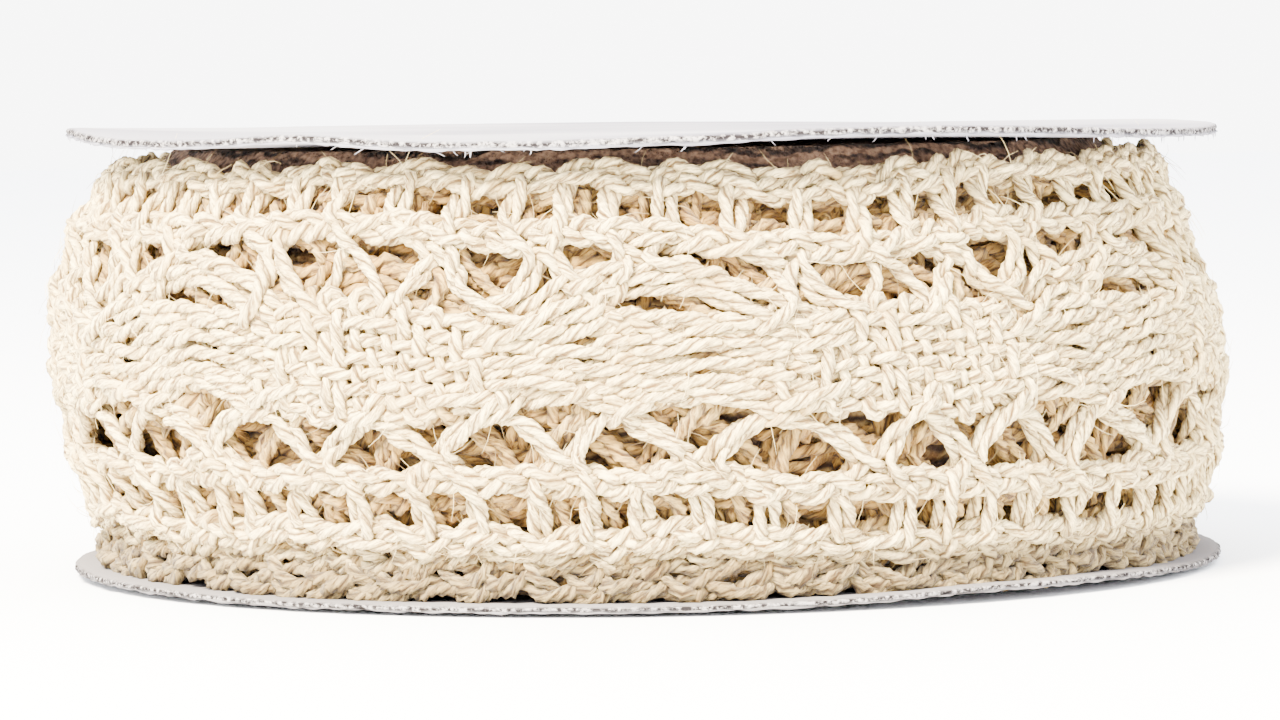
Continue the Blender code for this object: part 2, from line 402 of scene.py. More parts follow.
def settle(paths, depths, closed):
    """Pushes yarns apart where they touch, keeps each one smooth, and keeps the lace thin and in place."""
    rounds, rounds_per_search, search_margin = 60, 12, 0.45
    depth_weight, push_share, longest_push = 1.15, 0.32, 0.12
    smooth_share, home_share, home_share_depth, deepest = 0.22, 0.09, 0.012, -1.0
    points = np.vstack([np.column_stack([p, d]) for p, d in zip(paths, depths)])
    home = points.copy()
    owner = np.concatenate([np.full(len(p), n) for n, p in enumerate(paths)])
    index = np.concatenate([np.arange(len(p)) for p in paths])
    first = np.cumsum([0] + [len(p) for p in paths])
    before = np.arange(len(points)) - 1
    after = np.arange(len(points)) + 1
    wrap_before = np.zeros(len(points))
    wrap_after = np.zeros(len(points))
    for n in range(len(paths)):
        a, b = first[n], first[n + 1] - 1
        before[a], after[b] = (b, a) if closed[n] else (a, b)
        if closed[n]:
            wrap_before[a], wrap_after[b] = -REPEAT_LENGTH, REPEAT_LENGTH
    for round_number in range(rounds):
        if round_number % rounds_per_search == 0:
            i, j = close_pairs(points, owner, index, CONTACT_DISTANCE + search_margin)
        gap = points[j] - points[i]
        gap[:, 0] -= np.round(gap[:, 0] / REPEAT_LENGTH) * REPEAT_LENGTH
        gap[:, 2] *= depth_weight
        distance = np.linalg.norm(gap, axis=1) + 1e-6
        push = np.clip(CONTACT_DISTANCE - distance, 0, None) * push_share
        move = gap / distance[:, None] * push[:, None]
        step = np.zeros_like(points)
        np.add.at(step, j, move)
        np.add.at(step, i, -move)
        step = np.clip(step, -longest_push, longest_push)
        left, right = points[before].copy(), points[after].copy()
        left[:, 0] += wrap_before
        right[:, 0] += wrap_after
        smooth = (left + right) / 2 - points
        points = points + step + smooth_share * smooth
        points[:, :2] += home_share * (home[:, :2] - points[:, :2])
        points[:, 2] += home_share_depth * (home[:, 2] - points[:, 2])
        points[:, 2] = np.maximum(points[:, 2], deepest)
    return [points[first[n]:first[n + 1]] for n in range(len(paths))]


def close_pairs(points, owner, index, reach):
    """Pairs of samples that lie close together, other than near neighbours on one yarn."""
    neighbours = 4
    found_i, found_j = [], []
    for i in range(len(points) - 1):
        gap = points[i + 1:] - points[i]
        gap[:, 0] -= np.round(gap[:, 0] / REPEAT_LENGTH) * REPEAT_LENGTH
        near = np.nonzero((np.abs(gap[:, 0]) < reach) & (np.abs(gap[:, 1]) < reach)
                          & (np.abs(gap[:, 2]) < reach))[0] + i + 1
        apart = (owner[near] != owner[i]) | (np.abs(index[near] - index[i]) > neighbours)
        near = near[apart]
        found_i.append(np.full(len(near), i))
        found_j.append(near)
    return np.concatenate(found_i), np.concatenate(found_j)


def lace_repeat():
    """One repeat of the lace as settled yarns: (group, closed, points in millimetres with depths)."""
    strands = side_strands(LOWER_VEES, LOWER_SCALLOPS, False)
    strands += side_strands(UPPER_VEES, UPPER_SCALLOPS, True) + leaf_strands()
    closed = [s.closed for s in strands]
    tucked = [s.tucked for s in strands]
    paths = [spline(s.points, s.closed, CHART_STEP) for s in strands]
    found = find_crossings(paths, closed)
    over = choose_overs(found, paths, tucked)
    depths = yarn_depths(paths, closed, tucked, found, over)
    settled = settle(paths, depths, closed)
    print("lace repeat:", len(strands), "yarns,", len(found), "crossings,",
          round(sum(len(p) for p in paths) * CHART_STEP), "mm of yarn")
    return [(s.group, s.closed, p) for s, p in zip(strands, settled)]


FINE_HEIGHTS = np.linspace(0.0, 29.0, 291)


def smoothed(values):
    """A column of the profile at the fine heights, with its corners rounded."""
    half = 11
    kernel = np.hanning(2 * half + 1)
    fine = np.interp(FINE_HEIGHTS, [p.height for p in PROFILE], values)
    below, above = 2 * fine[0] - fine[half:0:-1], 2 * fine[-1] - fine[-2:-half - 2:-1]
    return np.convolve(np.concatenate([below, fine, above]), kernel / kernel.sum(), mode="valid")


FINE_RADII = smoothed([p.radius for p in PROFILE])
FINE_LEANS = smoothed([p.lean for p in PROFILE])
FINE_SLOPES = np.gradient(FINE_RADII, FINE_HEIGHTS)


def turns_round(along):
    """How many turns of the spool a length of lace makes."""
    return along / EYELET_PITCH / EYELETS_ROUND


def from_front(degrees):
    """An angle round the spool as degrees from the front, between -180 and 180."""
    return (degrees + 180) % 360 - 180


def wind(along, height, depth):
    """Places flat lace on the barrel: points and outward normals, in metres."""
    angle = turns_round(along) * TAU - TAU / 4
    radius = np.interp(height, FINE_HEIGHTS, FINE_RADII)
    lean = np.interp(height, FINE_HEIGHTS, FINE_LEANS)
    slope = np.interp(height, FINE_HEIGHTS, FINE_SLOPES)
    scale = 1 / np.sqrt(1 + slope ** 2)
    normal = np.column_stack([np.cos(angle) * scale, np.sin(angle) * scale, -slope * scale])
    place = np.column_stack([radius * np.cos(angle) - lean, radius * np.sin(angle), height])
    return (place + normal * depth[:, None]) * MM, normal


def wander(along, height, seed):
    """Slow unevenness of the hand of the lace: shifts along and across it, in millimetres."""
    angle = turns_round(along) * TAU
    rng = np.random.default_rng(seed)
    shift_along = np.zeros_like(along)
    shift_height = np.zeros_like(along)
    for _ in range(14):
        waves = rng.integers(3, 56)
        tilt = rng.uniform(-0.45, 0.45)
        size = 1 / (waves + 8)
        shift_along += 3.0 * size * np.sin(waves * angle + tilt * height + rng.uniform(0, TAU))
        shift_height += 2.0 * size * np.sin(waves * angle + tilt * height + rng.uniform(0, TAU))
    return shift_along, shift_height


# How far the outer turn strays up near its lower and its upper edge: degrees round from the front, and mm
LOWER_STRAY = [(-180, 0.0), (-60, 0.15), (-5, 0.1), (5, -0.2), (20, -0.4), (32, -0.85), (40, -1.0),
               (52, -0.9), (75, -0.6), (110, 0.1), (150, -0.3), (180, 0.0)]
UPPER_STRAY = [(-180, 0.3), (-130, -0.3), (-90, 0.5), (-60, 0.9), (-20, 1.0), (-8, 0.8), (2, 0.4),
               (9, -0.3), (20, -0.4), (28, -0.1), (38, 0.5), (50, 0.9), (70, 0.8), (110, 0.0),
               (150, 0.6), (180, 0.3)]


def stray(along, height):
    """Slow drift of the outer turn's two edges, in millimetres."""
    place = from_front(turns_round(along) * 360)
    lower = np.interp(place, *zip(*LOWER_STRAY)) * np.interp(height, [8, 14], [1, 0])
    upper = np.interp(place, *zip(*UPPER_STRAY))
    upper *= np.interp(height, [16, 22, 24.8, 26.6], [0, 1, 1, 0.25])
    return lower + upper


# Yarn sections: a lobe for each ply with a groove between, in fewer points where the yarn is half hidden
Section = namedtuple("Section", "angles radii step")
FINE_YARN = Section(np.radians([0, 42, 90, 138, 180, 222, 270, 318]),
                    np.array([1.0, 0.90, 0.68, 0.90, 1.0, 0.90, 0.68, 0.90]), YARN_STEP)
COARSE_YARN = Section(np.radians([0, 50, 120, 180, 230, 300]),
                      np.array([1.0, 0.88, 0.72, 1.0, 0.88, 0.72]), 0.62)
SPARSE_YARN = Section(np.radians([0, 72, 144, 216, 288]), np.array([1.0, 0.75, 0.95, 0.95, 0.75]), 0.9)

# Where the three corners of a hair lie round it
HAIR_ANGLES = np.radians([90, 210, 330])


def tube_points(path, radii, angles, across, out, flat=1.0):
    """Rings of points round a path. Radii and angles hold a row for each ring, or one for all."""
    return (path[:, None, :] + (radii * np.cos(angles))[:, :, None] * across[:, None, :]
            + (radii * flat * np.sin(angles))[:, :, None] * out[:, None, :]).reshape(-1, 3)


def ring_quads(rows, sides, closed=False):
    """Each quad between a ring of points and the next: its row, its side and its four points."""
    r, s = np.meshgrid(np.arange(rows if closed else rows - 1), np.arange(sides), indexing="ij")
    here, there = r * sides, ((r + 1) % rows) * sides
    after = (s + 1) % sides
    return r, s, np.stack([here + s, here + after, there + after, there + s], axis=-1)


def yarn_tube(points, normals, closed, phase, radius, section):
    """A twisted two-lobed tube along the points: points, quads, and (along, around) at the quads' corners."""
    length = np.concatenate([[0], np.cumsum(np.linalg.norm(np.diff(points, axis=0), axis=1))])
    count = max(3, int(round(length[-1] / (section.step * MM))))
    at = np.linspace(0, length[-1], count + 1)
    p = np.column_stack([np.interp(at, length, points[:, k]) for k in range(3)])
    n = np.column_stack([np.interp(at, length, normals[:, k]) for k in range(3)])
    turns = length[-1] / (TWIST_PITCH * MM)
    turns = round(turns) if closed else turns
    if closed:
        p, n, at = p[:-1], n[:-1], at[:-1]
        tangent = np.roll(p, -1, axis=0) - np.roll(p, 1, axis=0)
    else:
        tangent = np.gradient(p, axis=0)
    tangent /= np.linalg.norm(tangent, axis=1)[:, None]
    across = np.cross(tangent, n)
    across /= np.linalg.norm(across, axis=1)[:, None]
    out = np.cross(across, tangent)
    twist = at / length[-1] * turns * TAU + phase
    slub = 1 + 0.10 * np.sin(at / MM * 0.9 + phase * 3) * np.sin(at / MM * 0.37 + phase)
    ends = 1.0
    if not closed:
        ends = np.clip(np.minimum(at, length[-1] - at) / (0.8 * MM), 0.25, 1)
    swell = radius * MM * slub * ends
    sides = len(section.angles)
    verts = tube_points(p, swell[:, None] * section.radii, twist[:, None] + section.angles, across, out)
    r, s, quads = ring_quads(len(p), sides, closed)
    rise = length[-1] / MM / count
    begin, finish = r * rise, (r + 1) * rise
    left, right = s / sides, (s + 1) / sides
    corners = np.stack([np.stack([begin, left], -1), np.stack([begin, right], -1),
                        np.stack([finish, right], -1), np.stack([finish, left], -1)], axis=2)
    return verts, quads.reshape(-1, 4), corners.reshape(-1, 4, 2)


def add_mesh(name, verts, quads, corners, depth, material):
    """Makes one piece of quads that rides on the spool."""
    mesh = bpy.data.meshes.new(name)
    mesh.vertices.add(len(verts))
    mesh.vertices.foreach_set("co", verts.astype(np.float32).ravel())
    mesh.loops.add(quads.size)
    mesh.loops.foreach_set("vertex_index", quads.astype(np.int32).ravel())
    mesh.polygons.add(len(quads))
    mesh.polygons.foreach_set("loop_start", np.arange(0, quads.size, 4, dtype=np.int32))
    mesh.update(calc_edges=True)
    layer = mesh.uv_layers.new(name="along_around")
    layer.data.foreach_set("uv", corners.astype(np.float32).ravel())
    values = mesh.attributes.new("depth", "FLOAT", "POINT")
    values.data.foreach_set("value", depth.astype(np.float32))
    mesh.validate()
    mesh.shade_smooth()
    mesh.materials.append(material)
    piece = bpy.data.objects.new(name, mesh)
    bpy.context.scene.collection.objects.link(piece)
    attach(piece, "root")
    print(name, "triangles", 2 * len(quads))
    return piece


class Bundle:
    """Collects tubes that are joined into one piece."""

    def __init__(self):
        self.parts = []
        self.count = 0

    def add(self, verts, quads, corners, depth):
        self.parts.append((verts, quads + self.count, corners, depth))
        self.count += len(verts)

    def add_hair(self, path, widths, across, out, flat=1.0, start=0.0):
        """Adds a three-sided hair along a short path."""
        verts = tube_points(path, widths[:, None], HAIR_ANGLES, across, out, flat)
        quads = ring_quads(len(path), len(HAIR_ANGLES))[2].reshape(-1, 4)
        self.add(verts, quads, np.full((len(quads), 4, 2), start), np.zeros(len(verts)))

    def build(self, name, material, slot):
        verts, quads, corners, depth = zip(*self.parts)
        return add_mesh(name, np.vstack(verts), np.vstack(quads), np.vstack(corners),
                        np.concatenate(depth), material)


# One turn of lace on the roll: how far round it is shifted, in eyelets, how far it lies lower, how deep it
# lies under the roll's surface, and its painted shade offset, how much darker it is painted than its depth
# alone makes it, the last three as (height, value) pairs. Only heights outside hidden are made, only of the
# groups named, and the discs keep every yarn between LOWEST and HIGHEST.
Turn = namedtuple("Turn", "name shift drops sinks glooms hidden groups section radius seed")
ALL_GROUPS = ("edges", "bands", "arms", "threads", "leaves")
LOWEST = 1.04
HIGHEST = 27.55
OUTER_TURN = Turn("outer_turn", 0.0, [(0, 0)], [(0, 0.80)], [(0, 0)], None, ALL_GROUPS, FINE_YARN,
                  YARN_RADIUS, 11)
SECOND_TURN = Turn("second_turn", 3.3,
                   [(3, 1.0), (8, 1.3), (12, 0.5), (18, -0.3), (22, -1.1), (24, -0.9), (26, 0)],
                   [(0, 0.2), (1.9, 0.5), (2.8, 1.1), (4.2, 1.75), (30, 1.85)],
                   [(0, 0.1), (4.2, 0.1), (5.2, 0.5), (26, 0.5), (26.8, 1.0)],
                   None, ("edges", "bands"), COARSE_YARN, 0.54, 23)
SECOND_TURN_ARMS = SECOND_TURN._replace(groups=("arms",), hidden=(-9, 4.7))
SECOND_TURN_MIDDLE = SECOND_TURN._replace(groups=("threads", "leaves"), section=SPARSE_YARN)
THIRD_TURN = Turn("third_turn", 6.4, [(0, 2.35)],
                  [(0, -0.5), (1.1, -0.3), (1.9, 0.2), (2.6, 1.0), (3.5, 2.0), (6.0, 2.9), (30, 3.0)],
                  [(0, 0.6)], (8.2, 99), ("edges",), COARSE_YARN, 0.56, 37)
FOURTH_TURN = Turn("fourth_turn", 1.7, [(0, 2.2)], [(0, 0.7), (1.5, 1.3), (3.0, 2.6), (5.0, 3.4), (30, 3.6)],
                   [(0, 1.2)], (6.8, 99), ("edges",), SPARSE_YARN, 0.52, 41)
DEEP_TURN = Turn("deep_turn", 5.2, [(0, 2.3), (8, 2.3), (12, 0), (19, 0), (22, -2.3)], [(0, 2.9)], [(0, 0)],
                 None, ("bands", "arms"), SPARSE_YARN, 0.56, 47)
DEEP_TURN_THREADS = DEEP_TURN._replace(drops=[(14.5, 4.4), (16.0, -4.4)], sinks=[(0, 3.05)],
                                       groups=("threads",))
TOP_TURN = Turn("inner_top_turn", 4.8, [(0, -1.05)], [(0, 3.0)], [(0, -0.4)], (-9, 23.0), ("edges", "arms"),
                COARSE_YARN, 0.50, 53)
INNER_TURNS = (SECOND_TURN, SECOND_TURN_ARMS, SECOND_TURN_MIDDLE, THIRD_TURN, FOURTH_TURN, DEEP_TURN,
               DEEP_TURN_THREADS, TOP_TURN)


def runs_outside(points, hidden):
    """The stretches of a yarn whose heights lie outside the hidden range."""
    if hidden is None:
        return [points]
    shown = (points[:, 1] < hidden[0]) | (points[:, 1] > hidden[1])
    edges = np.nonzero(np.diff(shown.astype(int)))[0] + 1
    stretches = np.split(points, edges)
    flags = [part[0] for part in np.split(shown, edges)]
    return [s for s, flag in zip(stretches, flags) if flag and len(s) > 4]


def all_round(points):
    """A closed yarn's points through every repeat, back to its first one."""
    steps = [points + [REPEAT_LENGTH * k, 0, 0] for k in range(REPEATS_ROUND)]
    return np.vstack(steps + [points[:1] + [REPEAT_LENGTH * REPEATS_ROUND, 0, 0]])


def lay(run, turn):
    """Places a stretch of yarn on the roll: points and normals in metres, and the depths that set its painted
    shade.
    """
    shift_along, shift_height = wander(run[:, 0], run[:, 1], turn.seed)
    drop = np.interp(run[:, 1], *zip(*turn.drops))
    if turn is OUTER_TURN:
        drop = -stray(run[:, 0], run[:, 1])
    height = np.clip(run[:, 1] + shift_height - drop, LOWEST, HIGHEST)
    depth = run[:, 2] - np.interp(height, *zip(*turn.sinks))
    placed, normals = wind(run[:, 0] + shift_along, height, depth)
    return placed, normals, depth - np.interp(height, *zip(*turn.glooms))


def add_turn(repeat, turn, material):
    """Winds the repeat round the spool as one turn of lace. Returns its yarns' places, for loose fibres."""
    rng = random.Random(turn.seed)
    sides = len(turn.section.angles)
    bundles = {}
    places = []
    for group, closed, points in repeat:
        if group not in turn.groups:
            continue
        if group == "arms":
            group = "upper_arms" if points[:, 1].mean() > LACE_MIDDLE else "lower_arms"
        runs = runs_outside(points, turn.hidden)
        if closed and (len(runs) != 1 or len(runs[0]) != len(points)):
            continue
        if closed:
            runs = [all_round(points)]
        for k in range(1 if closed else REPEATS_ROUND):
            for run in runs:
                start = k * REPEAT_LENGTH + turn.shift * EYELET_PITCH
                placed, normals, depths = lay(run + [start, 0, 0], turn)
                verts, quads, corners = yarn_tube(placed, normals, closed, rng.uniform(0, TAU),
                                                  turn.radius * rng.uniform(0.94, 1.05), turn.section)
                corners[:, :, 0] += rng.uniform(0, 50)
                rows = np.repeat(np.linspace(0, 1, len(verts) // sides), sides)
                bundle = bundles.setdefault(group, Bundle())
                bundle.add(verts, quads, corners, np.interp(rows, np.linspace(0, 1, len(depths)), depths))
                places.append((placed, normals))
    for group, bundle in bundles.items():
        piece = bundle.build(turn.name + "_" + group, material, "lace")
        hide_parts("lace_roll")
    return places


def add_fibres(places, material):
    """Fine loose fibres that stand off the yarns of the outer turn."""
    fibres = 3400
    widths = 0.017 * MM * np.array([1, 1, 0.8, 0.4])
    t = np.linspace(0, 1, len(widths))[:, None]
    rng = np.random.default_rng(5)
    bundle = Bundle()
    stops = np.vstack([p for p, n in places])
    normals = np.vstack([n for p, n in places])
    for k in rng.choice(len(stops), fibres, replace=False):
        start, normal = stops[k], normals[k]
        side = np.cross(normal, rng.normal(size=3))
        side /= np.linalg.norm(side)
        reach = rng.uniform(0.5, 2.4) * MM
        lift = rng.uniform(0.1, 0.7)
        bend = np.cross(normal, side) * rng.uniform(-0.9, 0.9)
        path = (start + normal * 0.30 * MM + side * reach * t + normal * reach * lift * t * (1.2 - 0.6 * t)
                + bend * reach * t * t)
        along = np.gradient(path, axis=0)
        along /= np.linalg.norm(along, axis=1)[:, None]
        across = np.cross(along, normal + 0.01)
        across /= np.linalg.norm(across, axis=1)[:, None]
        bundle.add_hair(path, widths, across, np.cross(across, along), start=rng.uniform(0, 9))
    piece = bundle.build("loose_fibres", material, "lace")
    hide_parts("lace_roll")


class Nodes:
    """Short ways to add and join shader nodes."""

    def __init__(self, name):
        self.material = bpy.data.materials.new(name)
        self.material.use_nodes = True
        self.tree = self.material.node_tree
        self.shader = self.tree.nodes["Principled BSDF"]

    def add(self, kind, settings=(), **inputs):
        node = self.tree.nodes.new("ShaderNode" + kind)
        for key, value in dict(settings).items():
            setattr(node, key, value)
        for key, value in inputs.items():
            self.join(value, node.inputs[key.replace("_", " ")])
        return node

    def join(self, value, target):
        if isinstance(value, bpy.types.NodeSocket):
            self.tree.links.new(value, target)
        else:
            target.default_value = value

    def math(self, operation, a, b=0.0):
        node = self.tree.nodes.new("ShaderNodeMath")
        node.operation = operation
        self.join(a, node.inputs[0])
        self.join(b, node.inputs[1])
        return node.outputs[0]

    def mix(self, factor, a, b, blend="MIX"):
        node = self.tree.nodes.new("ShaderNodeMix")
        node.data_type = "RGBA"
        node.blend_type = blend
        self.join(factor, node.inputs["Factor"])
        self.join(a, node.inputs["A"])
        self.join(b, node.inputs["B"])
        return node.outputs["Result"]

    def span(self, value, low, high):
        """0 below low and 1 above high."""
        node = self.tree.nodes.new("ShaderNodeMapRange")
        self.join(value, node.inputs["Value"])
        node.inputs["From Min"].default_value = low
        node.inputs["From Max"].default_value = high
        return node.outputs["Result"]

    def noise(self, vector, scale, detail=2.0, roughness=0.5):
        node = self.tree.nodes.new("ShaderNodeTexNoise")
        self.join(vector, node.inputs["Vector"])
        node.inputs["Scale"].default_value = scale
        node.inputs["Detail"].default_value = detail
        node.inputs["Roughness"].default_value = roughness
        return node.outputs["Fac"]

    def bump(self, height, strength, distance):
        node = self.tree.nodes.new("ShaderNodeBump")
        node.inputs["Strength"].default_value = strength
        node.inputs["Distance"].default_value = distance
        self.join(height, node.inputs["Height"])
        self.join(node.outputs["Normal"], self.shader.inputs["Normal"])

    def finish(self, colour, roughness, **settings):
        self.join(colour, self.shader.inputs["Base Color"])
        self.join(roughness, self.shader.inputs["Roughness"])
        for key, value in settings.items():
            self.shader.inputs[key.replace("_", " ")].default_value = value
        return self.material


def grey(level):
    return (level, level, level, 1)


# Painted shade: the yarns are painted darker and browner as they lie deeper, where shade falls between the
# turns. A tint is full from deep down and gone from shallow up, in millimetres out of the roll's surface
PaintedDepthShade = namedtuple("PaintedDepthShade", "deep shallow tint")
PAINTED_DEPTH_SHADES = [
    PaintedDepthShade(-1.55, -1.0, (0.58, 0.50, 0.34, 1)),
    PaintedDepthShade(-2.4, -1.6, (0.46, 0.35, 0.18, 1)),
    PaintedDepthShade(-3.3, -2.5, (0.42, 0.28, 0.125, 1)),
]


def cotton_material():
    """Undyed cotton: fibres along each ply, painted shade in the groove between plies, and painted warm shade
    on the turns below.

    The lowest turns, beside the disc, are painted greyer and darker, as painted shade at the roll's foot.
    """
    pale, dark = (0.96, 0.77, 0.385, 1), (0.16, 0.09, 0.025, 1)
    tinge, ply_groove_shade = (0.60, 0.42, 0.16, 1), (0.085, 0.043, 0.011, 1)
    painted_foot_shade, foot_low, foot_high = (0.31, 0.285, 0.25, 1), 2.4 * MM, 3.9 * MM
    n = Nodes("cotton")
    uv = n.add("UVMap", {"uv_map": "along_around"}).outputs["UV"]
    split = n.add("SeparateXYZ", Vector=uv)
    turn = n.math("MULTIPLY", split.outputs["Y"], TAU)
    ring = n.add("CombineXYZ", X=n.math("MULTIPLY", split.outputs["X"], 1.3),
                 Y=n.math("MULTIPLY", n.math("COSINE", turn), 1.8),
                 Z=n.math("MULTIPLY", n.math("SINE", turn), 1.8))
    fibre = n.noise(ring.outputs["Vector"], 1.0, 5.0, 0.68)
    fine = n.noise(ring.outputs["Vector"], 3.4, 2.0, 0.6)
    where = n.add("TexCoord").outputs["Object"]
    patch = n.noise(where, 210.0, 2.0)
    ply = n.math("ABSOLUTE", n.math("COSINE", turn))
    groove = n.math("SUBTRACT", 1.0, n.span(ply, 0.04, 0.46))
    tone = n.mix(n.span(fibre, 0.365, 0.585), dark, pale)
    tone = n.mix(n.math("MULTIPLY", n.span(patch, 0.46, 0.74), 0.4), tone, tinge)
    # Painted shade: the groove between the plies is painted dark brown.
    tone = n.mix(n.math("MULTIPLY", groove, 0.92), tone, ply_groove_shade)
    # Painted shade: the depth attribute, less each turn's offset, paints the deeper yarns darker and browner.
    level = n.add("Attribute", {"attribute_name": "depth"}).outputs["Fac"]
    depth_shade_tone = grey(1)
    for step in PAINTED_DEPTH_SHADES:
        depth_shade_tone = n.mix(n.span(level, step.deep, step.shallow), step.tint, depth_shade_tone)
    tone = n.mix(1.0, tone, depth_shade_tone, "MULTIPLY")
    # Painted shade: yarns low beside the lower disc are painted greyer and darker.
    foot_shade_mask = n.span(n.add("SeparateXYZ", Vector=where).outputs["Z"], foot_low, foot_high)
    tone = n.mix(1.0, tone, n.mix(foot_shade_mask, painted_foot_shade, grey(1)), "MULTIPLY")
    height = n.math("ADD", n.math("MULTIPLY", fibre, 0.7), n.math("MULTIPLY", fine, 0.3))
    n.bump(height, 1.0, 0.00026)
    return n.finish(tone, 0.85, Sheen_Weight=0.1, Sheen_Roughness=0.5, Specular_IOR_Level=0.2)


def winding_material():
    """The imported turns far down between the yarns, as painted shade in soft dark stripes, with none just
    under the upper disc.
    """
    shaded_brown, pale, crevice_shade = (0.13, 0.06, 0.015, 1), (0.40, 0.26, 0.10, 1), (0.03, 0.012, 0.004, 1)
    top_shaded_brown, top_shaded_pale, top_low, top_high = (0.09, 0.045, 0.025, 1), (0.26, 0.155, 0.095, 1), 0.0255, 0.0262
    n = Nodes("inner_winding")
    where = n.add("TexCoord").outputs["Object"]
    patch = n.noise(where, 1100.0, 4.0, 0.7)
    fine = n.noise(where, 2600.0, 2.0)
    strands = n.add("TexWave", {"bands_direction": "Z"}, Vector=where, Scale=300.0, Distortion=9.0,
                    Detail=3.0, Detail_Scale=0.8, Detail_Roughness=0.6).outputs["Fac"]
    # Painted shade: the winding is painted dark brown, with darker stripes where the crevices between strands
    # lie.
    tone = n.mix(n.span(patch, 0.35, 0.65), shaded_brown, pale)
    tone = n.mix(n.span(strands, 0.05, 0.75), crevice_shade, tone)
    # Painted shade: just under the upper disc a plain shadowed brown is painted.
    top = n.mix(n.span(fine, 0.35, 0.65), top_shaded_brown, top_shaded_pale)
    tone = n.mix(n.span(n.add("SeparateXYZ", Vector=where).outputs["Z"], top_low, top_high), tone, top)
    n.bump(n.math("ADD", strands, n.math("ADD", patch, n.math("MULTIPLY", fine, 0.4))), 0.9, 0.0006)
    return n.finish(tone, 0.95)


def card_material(name, light, dark, cut_light):
    """Card: a pale grey-lavender face that is painted reflection, a little cloudy and rubbed, and a cut edge
    of grey board, speckled dark.
    """
    cut_dark = (0.015, 0.013, 0.014, 1)
    n = Nodes(name)
    where = n.add("TexCoord").outputs["Object"]
    level = n.add("Attribute", {"attribute_name": "depth"}).outputs["Fac"]
    speck = n.noise(where, 2600.0, 3.0, 0.7)
    cloud = n.noise(where, 30.0, 2.0)
    rubbed = n.noise(where, 420.0, 4.0, 0.7)
    face = n.mix(n.span(cloud, 0.35, 0.65), light, dark)
    face = n.mix(n.math("MULTIPLY", n.span(rubbed, 0.58, 0.72), 0.25), face, dark)
    cut = n.mix(n.span(speck, 0.46, 0.62), cut_dark, cut_light)
    tone = n.mix(level, face, cut)
    n.bump(n.math("MULTIPLY", speck, level), 0.9, 0.0002)
    return n.finish(tone, 0.6, Specular_IOR_Level=0.0)


def add_inner_winding(material):
    """The turns beneath, as one closed drum with a plain top and bottom."""
    sink, bottom, top, rows, columns = 3.3, 0.75, 27.92, 30, 192
    heights = np.linspace(bottom, top, rows)
    radii = np.concatenate([[0.001], np.interp(heights, FINE_HEIGHTS, FINE_RADII) - sink, [0.001]])
    levels = np.concatenate([[bottom], heights, [top]])
    leans = np.interp(levels, FINE_HEIGHTS, FINE_LEANS)
    angles = np.arange(columns) / columns * TAU
    verts = np.stack([radii[:, None] * np.cos(angles) - leans[:, None], radii[:, None] * np.sin(angles),
                      np.broadcast_to(levels[:, None], (len(levels), columns))], axis=-1).reshape(-1, 3) * MM
    quads = ring_quads(len(levels), columns)[2].reshape(-1, 4)
    piece = add_mesh("inner_winding", verts, quads, np.zeros((len(quads), 4, 2)), np.zeros(len(verts)),
                     material)
    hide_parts("lace_roll")


# The discs: outline of the card's section, from the middle of its face round its edge to the middle below.
# Ragged is how far the points stray, and grey is how much of the raw board shows.
CardPoint = namedtuple("CardPoint", "radius rise ragged grey")
CARD_SECTION = [
    CardPoint(0.001, 0.30, 0, 0),
    CardPoint(14.0, 0.30, 0, 0),
    CardPoint(26.0, 0.30, 0, 0),
    CardPoint(33.0, 0.30, 0, 0),
    CardPoint(37.2, 0.30, 0, 0),
    CardPoint(37.7, 0.28, 0.15, 0),
    CardPoint(37.88, 0.20, 0.6, 0.5),
    CardPoint(37.95, 0.10, 1, 1),
    CardPoint(37.95, -0.04, 1, 1),
    CardPoint(37.92, -0.15, 1, 0.8),
    CardPoint(38.0, -0.23, 1, 0),
    CardPoint(37.9, -0.34, 1, 0),
    CardPoint(37.5, -0.31, 0.3, 0),
    CardPoint(36.5, -0.30, 0, 0),
    CardPoint(26.0, -0.30, 0, 0),
    CardPoint(0.001, -0.30, 0, 0),
]

# The section's point on the lower lip of the edge, and how many times the section stands round a disc
LIP_ROW = 11
DISC_COLUMNS = 640

# How far each disc's rim stands up from flat: degrees round from the front, and millimetres
BOTTOM_WARP = [(-180, 0.1), (-110, 0.25), (-60, 0.15), (-40, 0.0), (5, 0.0), (20, 0.15), (33, 0.42),
               (48, 0.38), (68, 0.08), (110, 0.2), (180, 0.1)]
TOP_WARP = [(-180, 0.2), (-130, 0.35), (-95, 0.75), (-78, 0.85), (-68, 0.45), (-60, 0.23), (-50, 0.19),
            (-43, 0.27), (-38, 0.5), (-33, 0.52), (-29, 0.4), (-25, 0.2), (-21, 0.03), (-9, 0.02), (-2, 0.13),
            (7, 0.25), (14, 0.47), (21, 0.54), (29, 0.51), (38, 0.39), (46, 0.22), (55, 0.0), (70, -0.1),
            (84, 0.0), (110, 0.15), (150, -0.05), (180, 0.2)]

# A disc: its middle's height, its rim's warp, how much thinner and higher its rim is pressed, and which way
# the torn fibres of its edge rise
Disc = namedtuple("Disc", "node height warp rim_scale rim_lift burr_rise seed")
BOTTOM_DISC = Disc("flange_bottom", 0.3, BOTTOM_WARP, 0.68, 0.10, 0.6, 3)
TOP_DISC = Disc("flange_top", 28.35, TOP_WARP, 1.0, 0.0, -1.0, 8)


def blur_round(values, weights):
    """The weighted mean of each value of a closed ring and its neighbours."""
    half = len(weights) // 2
    ring = np.concatenate([values[-half:], values, values[:half]])
    return np.convolve(ring, weights / weights.sum(), "valid")


